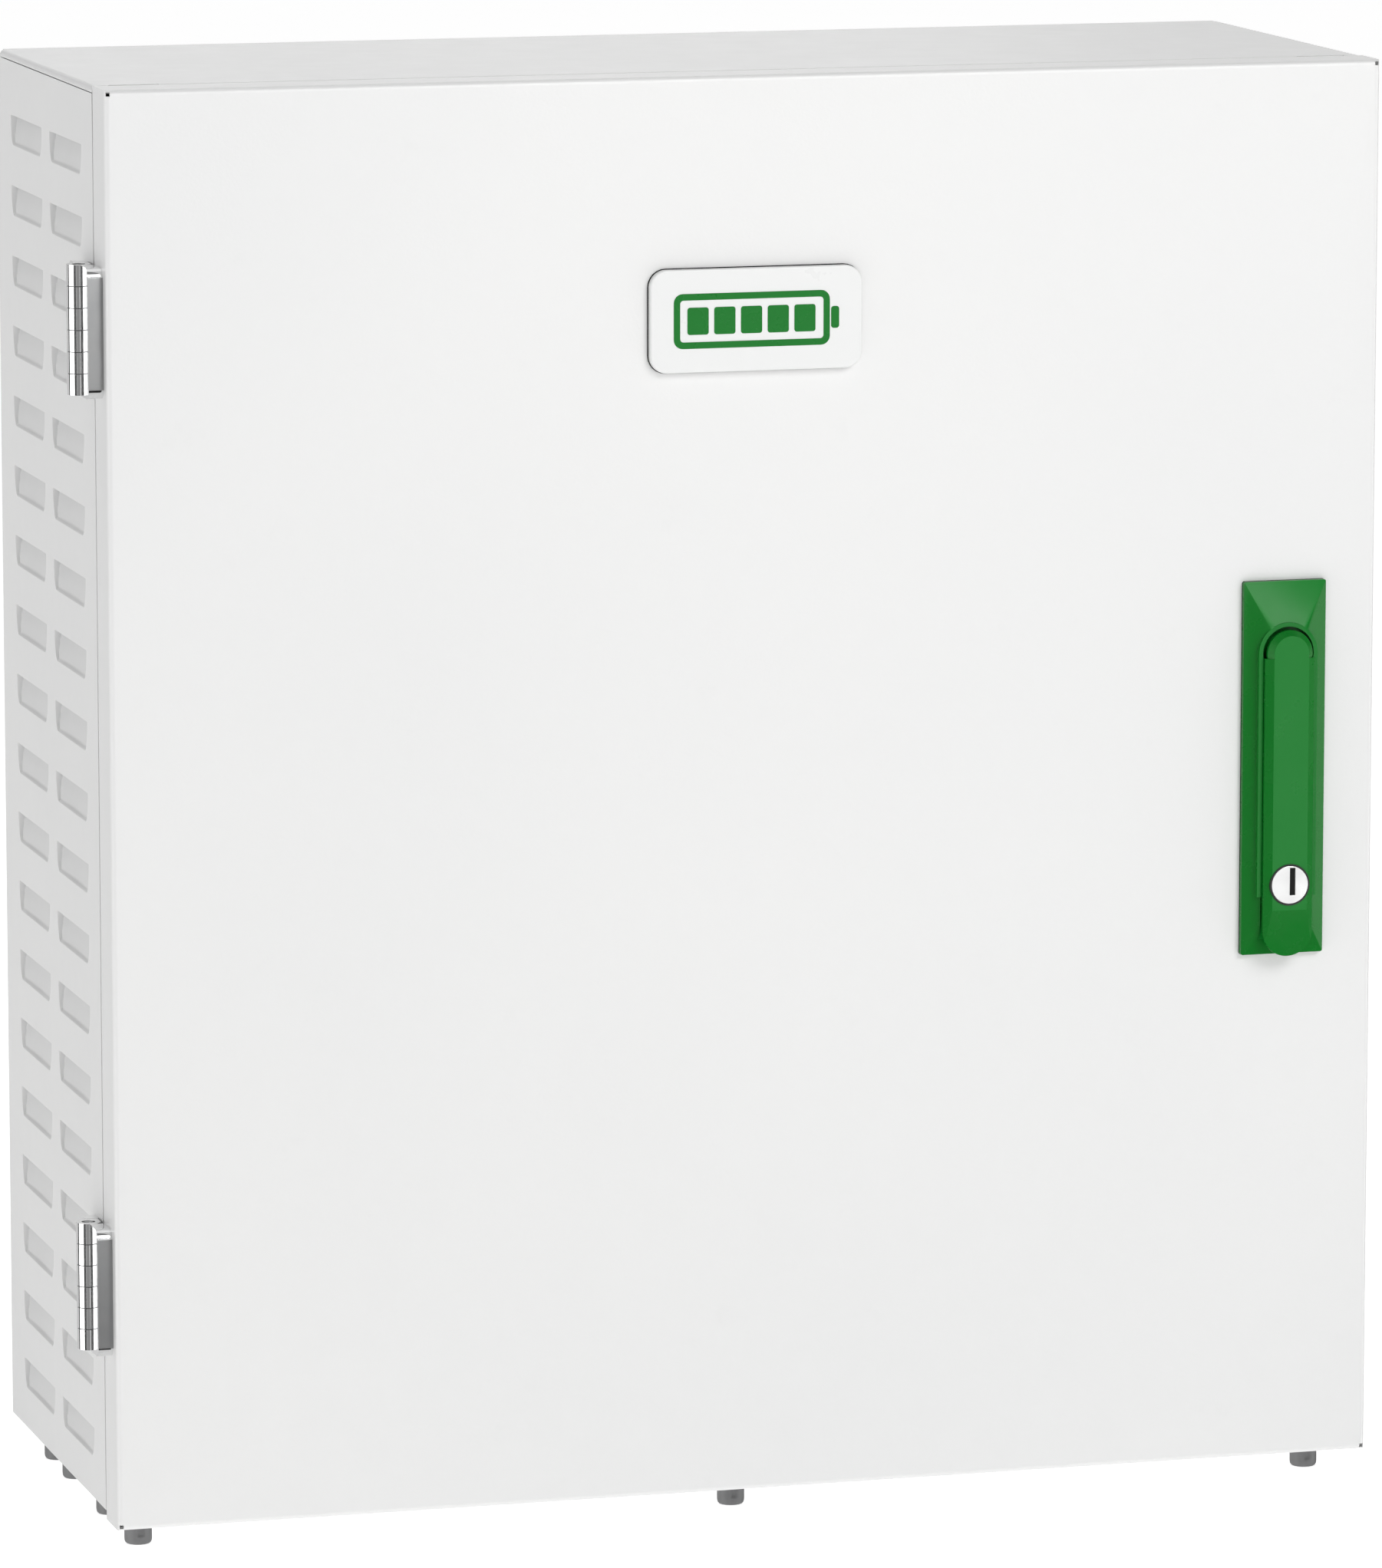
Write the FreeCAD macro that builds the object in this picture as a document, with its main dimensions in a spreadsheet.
"""Battery box: a louvred sheet-steel cabinet on feet, with a hinged door, a swing handle that drives two lock
rods, ten battery blocks on two shelves and a DC breaker above them. Millimetres, +Z up. The origin is on the
floor, under the middle of the footprint. The door faces -Y and its hinges are on the -X side."""

import FreeCAD, Part
import math
import os
import re

import Sketcher

DOC = FreeCAD.newDocument("battery_box")
SHEET = DOC.addObject("Spreadsheet::Sheet", "Sizes")

SIZES = {
    # cabinet
    "body_width": 600, "body_height": 651, "body_base": 19, "body_front": -84, "body_back": 123,
    "skin": 1.5, "top_turn": 3, "edge_round": 2.5, "side_return": 14, "frame_width": 20, "lip_height": 14,
    "notch_start": 8, "notch_end": 31, "notch_depth": 3, "corner_cut": 2.5, "corner_reach": 6,
    "wall_hole_x": 510, "wall_hole_z": 560, "wall_hole_middle": 343, "wall_hole_radius": 4.5,
    "upright_front": -82.5, "upright_back": -61.5, "upright_flange": 18,
    # louvres
    "louvre_count": 19, "louvre_pitch": 32.76, "louvre_top": 641.8, "louvre_length": 68.4,
    "louvre_neck": 52, "louvre_drop": 14, "louvre_depth": 4.5, "louvre_front": -26.6, "louvre_rear": 58.8,
    # feet and cable entry
    "foot_radius": 6.4, "foot_edge": 1.2, "foot_waist": 5.8, "foot_groove_low": 13, "foot_groove_high": 14,
    "foot_x": 282.6, "foot_row_a": -72.7, "foot_row_b": -12.5, "foot_row_c": 61.9, "foot_row_d": 102.2,
    "foot_slot": 1.2, "foot_slot_low": 4, "foot_slot_high": 8, "stem_radius": 3, "stem_top": 31,
    "stem_slack": 0.2, "foot_nut": 10, "foot_nut_high": 5,
    "entry_half": 150, "entry_front": -25, "entry_back": 65, "entry_lap": 14, "entry_gasket": 2,
    "grommet_radius": 20, "grommet_neck": 18, "grommet_bore": 11, "grommet_pitch": 90, "grommet_rim": 3,
    # screws
    "screw_radius": 2.5, "screw_head": 3, "screw_head_radius": 4.6, "screw_length": 10,
    "screw_socket": 3, "screw_socket_depth": 1.8, "screw_slack": 0.1,
    # door
    "door_width": 600, "door_height": 655, "door_depth": 24.5, "door_front": -110, "door_base": 15,
    "door_bend": 2.5, "door_return": 12, "relief_near": 0.8, "relief_far": 2.6, "relief_depth": 3,
    "carrier_half": 287.5,
    "carrier_width": 11.5, "carrier_back": -94.5, "gasket_back": -84.3, "gasket_inset": 0.5,
    "gasket_size": 9, "stiffener_x": 150, "stiffener_width": 26, "stiffener_depth": 14,
    "stiffener_foot": 12, "stiffener_low": 45, "stiffener_high": 640,
    "badge_width": 100, "badge_height": 47, "badge_thick": 4, "badge_corner": 8, "badge_z": 559.5,
    # hinges
    "hinge_x": -306.3, "hinge_y": -81.7, "hinge_length": 59, "hinge_upper": 561, "hinge_lower": 124,
    "barrel_radius": 5.6, "pin_radius": 3, "pin_slack": 0.05, "leaf_thick": 7, "leaf_reach": 22,
    "leaf_back": 18, "leaf_corner": 5, "knuckles": 6, "knuckle_gap": 0.15, "leaf_slack": 0.6,
    "pin_recess": 2.5,
    # swing handle
    "handle_x": 255, "handle_z": 342.5, "plate_width": 40, "plate_height": 175, "plate_thick": 3,
    "plate_corner": 1, "ridge_height": 8.6, "ridge_half": 14.3, "ridge_low": 283, "axis_z": 397,
    "hip_half": 8.8, "hip_low": 276, "hip_high": 409,
    "well_radius": 12.3, "well_floor": 1, "channel_floor": 5, "channel_half": 12,
    "boss_width": 25.4, "boss_height": 149.4, "boss_depth": 12, "boss_slack": 0.3,
    "hub_radius": 8, "hub_slack": 0.05, "hub_top": 3.2, "hub_back": -95, "spindle_half": 4,
    "lever_bottom": 9, "lever_top": 13.5, "lever_half": 12, "lever_flat": 8.5, "lever_rise": 2,
    "lever_start": 2, "head_radius": 11, "head_bevel": 2.5, "tip_z": 255, "slope_z": 277, "tip_thick": 1.6,
    "pivot_height": 6.5, "pivot_radius": 1.5, "lug_half": 4, "lug_radius": 2.6,
    "cheek_near": 4.2, "cheek_far": 6.8, "cheek_radius": 2.1, "cheek_sink": 1,
    "lock_z": 289, "sleeve_radius": 9.7, "plug_radius": 8.9, "lock_low": 9.2, "lock_high": 13.9,
    "key_half": 1.3, "key_height": 12.8, "key_x": 1.3, "key_rise": 1.5, "key_depth": 3,
    "clip_radius": 10.5, "clip_seat": 7, "clip_slack": 1, "clip_front": -96.4, "clip_back": -95.4,
    "clamp_half": 20, "clamp_height": 120, "clamp_leg": 4, "clamp_hole": 12, "clamp_screw_low": 45,
    "clamp_screw_high": 15,
    # lock rods
    "cam_front": -80, "cam_back": -77, "cam_radius": 18, "crank": 10, "crank_pin": 3, "rod_front": -76.6,
    "rod_back": -73.6, "pin_end": -72.8, "rod_half": 6, "arm_in": 3, "arm_out": 21, "arm_reach": 49,
    "arm_start": 39, "slot_slack": 0.75, "slot_web": 3, "slot_run": 4.14, "rod_top": 645.5,
    "rod_bottom": 42, "rod_tip": 3, "rod_point": 8, "guide_upper": 560, "guide_lower": 150,
    "guide_half": 8, "guide_gap": 0.5, "guide_wall": 3,
    # shelves and batteries
    "shelf_half": 288, "shelf_front": -56, "shelf_back": 119, "shelf_lip": 16, "lower_tier": 72,
    "upper_tier": 218, "rail_height": 22, "rail_half": 291, "rail_foot": 18, "shelf_screw_x": 281,
    "shelf_screw_front": -40, "shelf_screw_back": 100,
    "battery_width": 98, "battery_depth": 151, "battery_height": 94, "battery_gap": 6,
    "battery_front": -54, "battery_count": 5, "lid_height": 16, "lid_step": 0.8, "battery_corner": 3,
    "tab_width": 6.3, "tab_thick": 0.8, "tab_height": 8, "tab_inset": 14, "link_thick": 2,
    "link_low": 1.5, "link_high": 7,
    "bar_height": 20, "bar_low": 60, "bar_half": 291, "bar_screw_x": 287,
    # breaker compartment
    "plate_half": 225, "plate_low": 365, "plate_high": 645, "plate_front": 93, "plate_back": 95,
    "standoff_radius": 7, "standoff_x": 205, "standoff_low": 385, "standoff_high": 625,
    "breaker_x": -90, "breaker_half": 52.5, "breaker_low": 425, "breaker_high": 586,
    "breaker_front": 25, "cover_back": 43, "cover_step": 3, "raised_half": 31.5, "raised_reach": 40.8,
    "escape_half": 20, "escape_high": 30,
    "toggle_half": 7, "window_half": 8, "window_reach": 24, "cavity_back": 70, "toggle_pivot": 55,
    "toggle_tip": 12, "toggle_thick": 4, "toggle_hub": 6, "toggle_tilt": 18,
    "breaker_screw_x": 42, "breaker_screw_z": 70,
    "busbar_x": 30, "busbar_half": 10, "busbar_front": 60, "busbar_thick": 3, "busbar_high": 636,
    "busbar_post": 618, "post_radius": 8,
    "din_low": 542.5, "din_high": 577.5, "din_depth": 7.5, "din_lip": 4, "din_start": 30,
    "din_end": 210, "din_screw": 560, "block_count": 12, "block_pitch": 12, "block_start": 48,
    "block_gap": 0.4, "block_high": 26, "block_depth": 42, "block_step": 14,
    "earth_z": 400, "earth_start": 40, "earth_end": 200, "earth_half": 6, "earth_front": 72,
    "earth_back": 80, "earth_inset": 15, "earth_hole": 2.6, "earth_holes": 7, "earth_pitch": 18,
    # external earth stud
    "stud_radius": 4, "stud_core": 3.8, "stud_inside": 7.5, "stud_y": 106, "stud_z": 60, "stud_reach": 12,
    "stud_nut": 13, "stud_nut_high": 5, "stud_slack": 0.3,
}


def fill_sheet():
    for row, (alias, value) in enumerate(SIZES.items(), start=1):
        SHEET.set(f"A{row}", alias)
        SHEET.set(f"B{row}", str(value))
        SHEET.setAlias(f"B{row}", alias)
    DOC.recompute()


def cells(text):
    """The same expression with every alias written as a cell of the sheet."""
    return re.sub(r"[a-z_]+", lambda word: "Sizes." + word[0] if word[0] in SIZES else word[0], str(text))


def size(alias):
    return float(SHEET.get(alias))


def bind(thing, prop, text):
    thing.setExpression(prop, cells(text))


def place(thing, at):
    for letter, text in zip("xyz", at):
        bind(thing, f"Placement.Base.{letter}", text)


def less(high, low):
    return f"({high}) - ({low})"


# ---- Part primitives and booleans -------------------------------------------------------------------------


def block(name, x, y, z):
    """A box from its low and high X, Y and Z."""
    made = DOC.addObject("Part::Box", name)
    for prop, span in zip(("Length", "Width", "Height"), (x, y, z)):
        bind(made, prop, less(span[1], span[0]))
    place(made, (x[0], y[0], z[0]))
    return made


TURNS = {
    "x": FreeCAD.Rotation(FreeCAD.Vector(0, 1, 0), 90),
    "y": FreeCAD.Rotation(FreeCAD.Vector(1, 0, 0), -90),
    "z": FreeCAD.Rotation(),
}


def along(thing, axis, centre, start):
    """Turns a thing that stands on Z so that it runs along axis from start, about centre."""
    thing.Placement = FreeCAD.Placement(FreeCAD.Vector(), TURNS[axis])
    at = list(centre)
    at.insert("xyz".index(axis), start)
    place(thing, at)
    return thing


def cylinder(name, axis, centre, span, radius):
    made = DOC.addObject("Part::Cylinder", name)
    bind(made, "Radius", radius)
    bind(made, "Height", less(span[1], span[0]))
    return along(made, axis, centre, span[0])


def cone(name, axis, centre, span, radii):
    made = DOC.addObject("Part::Cone", name)
    bind(made, "Radius1", radii[0])
    bind(made, "Radius2", radii[1])
    bind(made, "Height", less(span[1], span[0]))
    return along(made, axis, centre, span[0])


def hexagon(name, axis, centre, span, flats):
    made = DOC.addObject("Part::Prism", name)
    made.Polygon = 6
    bind(made, "Circumradius", f"({flats}) / sqrt(3)")
    bind(made, "Height", less(span[1], span[0]))
    return along(made, axis, centre, span[0])


def fuse(name, things):
    made = DOC.addObject("Part::MultiFuse", name)
    made.Shapes = things
    made.Refine = True
    return made


def cut(name, base, tools):
    made = DOC.addObject("Part::Cut", name)
    made.Base = base
    made.Tool = tools[0] if len(tools) == 1 else fuse(name + "_tools", tools)
    made.Refine = True
    return made


def group(name, things):
    """Several separate solids as one thing."""
    made = DOC.addObject("Part::Compound", name)
    made.Links = things
    return made


def common(name, things):
    made = DOC.addObject("Part::MultiCommon", name)
    made.Shapes = things
    return made


def feature(name, shape):
    made = DOC.addObject("Part::Feature", name)
    made.Shape = shape
    made.Placement = FreeCAD.Placement()
    return made


def fillet(name, base, alias, chosen):
    """Rounds the edges for which chosen(edge) is true, to the size of that alias."""
    DOC.recompute()
    made = DOC.addObject("Part::Fillet", name)
    made.Base = base
    radius = size(alias)
    made.Edges = [(i, radius, radius) for i, edge in enumerate(base.Shape.Edges, start=1) if chosen(edge)]
    return made


def runs_along(edge, letter):
    """Whether a straight edge is parallel to an axis."""
    if edge.Curve.TypeId != "Part::GeomLine":
        return False
    return abs(getattr(edge.tangentAt(edge.FirstParameter), letter)) > 0.999


# ---- PartDesign bodies ------------------------------------------------------------------------------------


def new_body(name):
    return DOC.addObject("PartDesign::Body", name)


def new_sketch(body, plane, offset="0"):
    """A sketch on an origin plane of its body, moved along that plane's normal."""
    made = body.newObject("Sketcher::SketchObject", body.Name + "_sketch")
    found = [f for f in body.Origin.OriginFeatures if f.Role == plane]
    made.AttachmentSupport = (found[0], [""])
    made.MapMode = "FlatFace"
    bind(made, "AttachmentOffset.Base.z", offset)
    return made


def pin_point(sketch, geometry, end, point):
    """Holds one end of a line, or the centre of a circle, at a point given by expressions."""
    for kind, text in zip(("DistanceX", "DistanceY"), point):
        index = sketch.addConstraint(Sketcher.Constraint(kind, -1, 1, geometry, end, 1.0))
        bind(sketch, f"Constraints[{index}]", text)


def outline(sketch, points):
    """A closed outline of straight lines through the points."""
    first = sketch.GeometryCount
    guess = [FreeCAD.Vector(math.cos(i), math.sin(i), 0) for i in range(len(points))]
    for i in range(len(points)):
        sketch.addGeometry(Part.LineSegment(guess[i], guess[(i + 1) % len(points)]), False)
    for i, point in enumerate(points):
        after = first + (i + 1) % len(points)
        sketch.addConstraint(Sketcher.Constraint("Coincident", first + i, 2, after, 1))
        pin_point(sketch, first + i, 1, point)


def rectangle(sketch, x, y):
    outline(sketch, [(x[0], y[0]), (x[1], y[0]), (x[1], y[1]), (x[0], y[1])])


def pad(body, sketch, length, reverse=False):
    made = body.newObject("PartDesign::Pad", body.Name + "_pad")
    made.Profile = sketch
    made.Reversed = reverse
    bind(made, "Length", length)
    body.Tip = made
    DOC.recompute()
    return made


def pocket(body, sketch, length, reverse=False):
    """Cuts against the sketch's normal, or along it when reversed, and stops if nothing was cut."""
    before = body.Shape.Volume
    made = body.newObject("PartDesign::Pocket", body.Name + "_pocket")
    made.Profile = sketch
    made.Reversed = reverse
    bind(made, "Length", length)
    body.Tip = made
    DOC.recompute()
    if body.Shape.Volume > before - 1e-6:
        raise ValueError(f"{made.Name} cuts nothing")
    return made


def round_edges(body, radius, chosen):
    base = body.Tip
    made = body.newObject("PartDesign::Fillet", body.Name + "_fillet")
    made.Base = (base, [f"Edge{i}" for i, edge in enumerate(base.Shape.Edges, start=1) if chosen(edge)])
    bind(made, "Radius", radius)
    body.Tip = made
    DOC.recompute()
    return made


# ---- Spans and shapes that several sub-parts share --------------------------------------------------------

TOUCH = 0.01
OUTER_X = ("-body_width / 2", "body_width / 2")
CABINET_TOP = "body_base + body_height"
INNER_Z = ("body_base + skin", f"{CABINET_TOP} - top_turn")
THROUGH_TOP = (f"{CABINET_TOP} - 2 * top_turn", f"{CABINET_TOP} + skin")
DOOR_SKIN = "door_front + skin"


def on_side(sign, near, far):
    """The X span between two distances from the middle, on the side of that sign."""
    return (near, far) if sign > 0 else (f"-({far})", f"-({near})")


def low_first(sign, near, far):
    """Two levels in rising order, when far lies beyond near on the side of that sign."""
    return (near, far) if sign > 0 else (far, near)


def about(middle, half):
    return (f"{middle} - ({half})", f"{middle} + ({half})")


def out_from(seat, out, near, far):
    """The span between two distances from a seat, on the side of that sign."""
    if out > 0:
        return (f"{seat} + ({near})", f"{seat} + ({far})")
    return (f"{seat} - ({far})", f"{seat} - ({near})")


def proud(low, high):
    """The Y span between two heights in front of the door's face."""
    return (f"door_front - ({high})", f"door_front - ({low})")


def ring(name, half, y, z, wall):
    """A rectangular frame round Y with that wall."""
    outer = block(f"{name}_outer", (f"-({half})", half), y, z)
    inside = (f"-({half}) + {wall}", f"{half} - ({wall})")
    inner = block(f"{name}_inner", inside, y, (f"{z[0]} + {wall}", f"{z[1]} - ({wall})"))
    return cut(name, outer, [inner])


def frustum(name, y, x_front, z_front, x_back, z_back):
    """A solid between a rectangle at the front of the Y span and another at its back."""
    made = DOC.addObject("Part::Wedge", name)
    spans = (
        (("Ymin", "Ymax"), y),
        (("Xmin", "Xmax"), x_front),
        (("Zmin", "Zmax"), z_front),
        (("X2min", "X2max"), x_back),
        (("Z2min", "Z2max"), z_back),
    )
    for props, span in spans:
        for prop, text in zip(props, span):
            bind(made, prop, text)
    return made


# Every M5 socket-head screw: axis, centre across it, seat under the head, and the side the head is on.
SCREWS = {"cabinet": [], "door": []}


def screw_holes(name, owner, axis, seat, out, spots, depth="screw_length"):
    """Puts a screw at every spot and gives the holes for their shanks."""
    SCREWS[owner] += [(axis, spot, seat, out) for spot in spots]
    return [
        cylinder(f"{name}_{i}", axis, spot, out_from(seat, -out, "0", depth), "screw_radius + screw_slack")
        for i, spot in enumerate(spots)
    ]


def same_holes(name, axis, span, spots):
    """Holes for the same screws in another piece."""
    radius = "screw_radius + screw_slack"
    return [cylinder(f"{name}_{i}", axis, spot, span, radius) for i, spot in enumerate(spots)]


def screw(name, axis, centre, seat, out):
    head = cylinder(f"{name}_head", axis, centre, out_from(seat, out, "0", "screw_head"), "screw_head_radius")
    shank = cylinder(f"{name}_shank", axis, centre, out_from(seat, -out, "0", "screw_length"), "screw_radius")
    recess = out_from(seat, out, "screw_head - screw_socket_depth", "screw_head + screw_socket_depth")
    socket = hexagon(f"{name}_socket", axis, centre, recess, "screw_socket")
    return cut(name, fuse(f"{name}_blank", [head, shank]), [socket])


def screws(owner):
    made = [screw(f"{owner}_screw_{i}", *spec) for i, spec in enumerate(SCREWS[owner])]
    return group(f"{owner}_screws", made)


# ---- Cabinet ----------------------------------------------------------------------------------------------

WALL_SPOTS = [
    (f"{x} * wall_hole_x / 2", f"wall_hole_middle + {z} * wall_hole_z / 2") for x in (-1, 1) for z in (-1, 1)
]
FOOT_SPOTS = [(x, row) for x in ("-foot_x", "foot_x") for row in
              ("foot_row_a", "foot_row_b", "foot_row_c", "foot_row_d")]
FOOT_SPOTS += [("0", "foot_row_a"), ("0", "foot_row_d")]
ENTRY_SPOTS = [(x, y) for x in ("-entry_half - entry_lap / 2", "0", "entry_half + entry_lap / 2") for y in
               ("entry_front - entry_lap / 2", "entry_back + entry_lap / 2")]
STANDOFF_SPOTS = [(x, z) for x in ("-standoff_x", "standoff_x") for z in ("standoff_low", "standoff_high")]


def back_panel():
    panel = block("back_sheet", OUTER_X, ("body_back - skin", "body_back"), INNER_Z)
    span = ("body_back - 2 * skin", "body_back + skin")
    holes = [
        cylinder(f"wall_hole_{i}", "y", spot, span, "wall_hole_radius")
        for i, spot in enumerate(WALL_SPOTS)
    ]
    return cut("back_panel", panel, holes)


def top_panel():
    """A shallow tray turned down over the walls, notched at its front edge and relieved at its rear corners."""
    sheet = block("top_sheet", OUTER_X, ("body_front", "body_back"), (f"{CABINET_TOP} - top_turn", CABINET_TOP))
    level = size("body_base") + size("body_height")
    rounded = fillet("top_rounded", sheet, "edge_round", lambda edge: edge.BoundBox.ZMin > level - TOUCH)
    tools = [block("top_hollow", ("-body_width / 2 + skin", "body_width / 2 - skin"),
                   ("body_front + skin", "body_back - skin"),
                   (f"{CABINET_TOP} - top_turn", f"{CABINET_TOP} - skin"))]
    for side in (-1, 1):
        tools.append(block(f"top_notch_{side}",
                           on_side(side, "body_width / 2 - notch_end", "body_width / 2 - notch_start"),
                           ("body_front - skin", "body_front + notch_depth"), THROUGH_TOP))
        tools.append(block(f"top_corner_{side}",
                           on_side(side, "body_width / 2 - corner_cut", "body_width / 2 + skin"),
                           ("body_back - corner_reach", "body_back + skin"), THROUGH_TOP))
    return cut("top_panel", rounded, tools)


def bottom_panel():
    floor = ("body_base", "body_base + skin")
    through = ("body_base - skin", "body_base + 2 * skin")
    panel = block("bottom_sheet", OUTER_X, ("body_front", "body_back"), floor)
    tools = [block("entry_opening", ("-entry_half", "entry_half"), ("entry_front", "entry_back"), through)]
    tools += [
        cylinder(f"foot_hole_{i}", "z", spot, through, "stem_radius + stem_slack")
        for i, spot in enumerate(FOOT_SPOTS)
    ]
    tools += same_holes("entry_hole", "z", through, ENTRY_SPOTS)
    return cut("bottom_panel", panel, tools)


def scoop(outer, inward, middle, top, shift):
    """The wedge a louvre is pressed into: deepest along its level top edge, run out to nothing below."""
    half = size("louvre_length") / 2
    neck = size("louvre_neck") / 2
    near = outer + inward * shift
    deep = near + inward * size("louvre_depth")
    low = top - size("louvre_drop")
    corner = FreeCAD.Vector
    a, b = corner(near, middle - half, top), corner(near, middle + half, top)
    c, d = corner(near, middle + neck, low), corner(near, middle - neck, low)
    e, f = corner(deep, middle - neck, top), corner(deep, middle + neck, top)
    faces = [Part.Face(Part.makePolygon(list(loop) + [loop[0]]))
             for loop in ((a, b, c, d), (a, e, f, b), (d, c, f, e), (a, d, e), (b, f, c))]
    shell = Part.makeShell(faces)
    shell.sewShape()
    solid = Part.makeSolid(shell)
    if solid.Volume < 0:
        solid.reverse()
    return solid


def louvres(name, sign, shift):
    outer = sign * size("body_width") / 2
    tops = [size("louvre_top") - i * size("louvre_pitch") for i in range(int(size("louvre_count")))]
    columns = (size("louvre_front"), size("louvre_rear"))
    return feature(name, Part.makeCompound([scoop(outer, -sign, y, z, shift) for y in columns for z in tops]))


def side_panel(name, sign, holes):
    """A side sheet with a flange turned in at its rear and two columns of louvres pressed inwards."""
    sheet = block(f"{name}_sheet", on_side(sign, "body_width / 2 - skin", "body_width / 2"),
                  ("body_front", "body_back - skin"), INNER_Z)
    flange = block(f"{name}_flange", on_side(sign, "body_width / 2 - side_return", "body_width / 2 - skin"),
                   ("body_back - 2 * skin", "body_back - skin"), INNER_Z)
    hoods = louvres(f"{name}_hoods", sign, size("skin"))
    voids = louvres(f"{name}_voids", sign, 0)
    return cut(name, fuse(f"{name}_pressed", [sheet, flange, hoods]), [voids] + holes)


def right_panel():
    through = ("body_width / 2 - 2 * skin", "body_width / 2 + skin")
    hole = cylinder("stud_hole", "x", ("stud_y", "stud_z"), through, "stud_radius + stud_slack")
    return side_panel("right_panel", 1, [hole])


def front_frame():
    plate = ring("frame_plate", "body_width / 2 - skin", ("body_front", "body_front + skin"), INNER_Z,
                 "frame_width")
    lip_z = (f"{INNER_Z[0]} + frame_width - skin", f"{INNER_Z[1]} - (frame_width - skin)")
    lip = ring("frame_lip", "body_width / 2 - frame_width", ("body_front", "body_front + lip_height"), lip_z,
               "skin")
    return fuse("front_frame", [plate, lip])


BAR_SPOTS = [(x, f"{tier} + bar_low + bar_height / 2") for x in ("-bar_screw_x", "bar_screw_x")
             for tier in ("lower_tier", "upper_tier")]


def front_uprights():
    made = []
    for side, sign in (("left", -1), ("right", 1)):
        web = block(f"upright_web_{side}", on_side(sign, "body_width / 2 - 2 * skin", "body_width / 2 - skin"),
                    ("upright_front", "upright_back"), INNER_Z)
        flange = block(f"upright_flange_{side}",
                       on_side(sign, "body_width / 2 - skin - upright_flange", "body_width / 2 - skin"),
                       ("upright_back - skin", "upright_back"), INNER_Z)
        made.append(fuse(f"upright_{side}", [web, flange]))
    span = ("upright_back - 2 * skin", "upright_back + skin")
    return cut("front_uprights", group("uprights", made), same_holes("upright_hole", "y", span, BAR_SPOTS))


def foot(name, spot):
    x, y = spot
    edge = cone(f"{name}_edge", "z", spot, ("0", "foot_edge"), ("foot_radius - foot_edge", "foot_radius"))
    lower = cylinder(f"{name}_lower", "z", spot, ("foot_edge", "foot_groove_low"), "foot_radius")
    waist = cylinder(f"{name}_waist", "z", spot, ("foot_groove_low", "foot_groove_high"), "foot_waist")
    upper = cylinder(f"{name}_upper", "z", spot, ("foot_groove_high", "body_base"), "foot_radius")
    stem = cylinder(f"{name}_stem", "z", spot, ("body_base", "stem_top"), "stem_radius")
    slot = block(f"{name}_slot", about(x, "foot_slot"), (f"{y} - 2 * foot_radius", f"{y} - foot_waist"),
                 ("foot_slot_low", "foot_slot_high"))
    return cut(name, fuse(f"{name}_blank", [edge, lower, waist, upper, stem]), [slot])


def nut(name, axis, spot, span, flats, radius):
    blank = hexagon(f"{name}_hex", axis, spot, span, flats)
    return cut(name, blank, [cylinder(f"{name}_bore", axis, spot, span, radius)])


def hex_nuts():
    """The nuts of the feet, and the two that clamp the earth stud to the right side."""
    seat = "body_base + skin"
    span = (seat, f"{seat} + foot_nut_high")
    made = [
        nut(f"foot_nut_{i}", "z", spot, span, "foot_nut", "stem_radius")
        for i, spot in enumerate(FOOT_SPOTS)
    ]
    face = "body_width / 2"
    spans = ((face, f"{face} + stud_nut_high"), (f"{face} - skin - stud_nut_high", f"{face} - skin"))
    for i, span in enumerate(spans):
        made.append(nut(f"stud_nut_{i}", "x", ("stud_y", "stud_z"), span, "stud_nut", "stud_core"))
    return group("hex_nuts", made)


def entry_span(grow):
    lap = f"entry_lap + {grow}"
    return (f"-entry_half - ({lap})", f"entry_half + {lap}"), (f"entry_front - ({lap})", f"entry_back + {lap}")


def entry_gasket():
    x, y = entry_span("0")
    level = ("body_base - entry_gasket", "body_base")
    outer = block("entry_gasket_outer", x, y, level)
    tools = [block("entry_gasket_inner", ("-entry_half", "entry_half"), ("entry_front", "entry_back"), level)]
    tools += same_holes("entry_gasket_hole", "z", level, ENTRY_SPOTS)
    return cut("cable_entry_gasket", outer, tools)


GROMMET_SPOTS = [(f"{i} * grommet_pitch", "(entry_front + entry_back) / 2") for i in (-1, 0, 1)]
ENTRY_PLATE_TOP = "body_base - entry_gasket"


def entry_plate():
    x, y = entry_span("skin")
    level = (f"{ENTRY_PLATE_TOP} - skin", ENTRY_PLATE_TOP)
    tools = [
        cylinder(f"grommet_hole_{i}", "z", spot, level, "grommet_neck")
        for i, spot in enumerate(GROMMET_SPOTS)
    ]
    tools += screw_holes("entry_screw_hole", "cabinet", "z", f"{ENTRY_PLATE_TOP} - skin", -1, ENTRY_SPOTS)
    return cut("cable_entry_plate", block("entry_sheet", x, y, level), tools)


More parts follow.
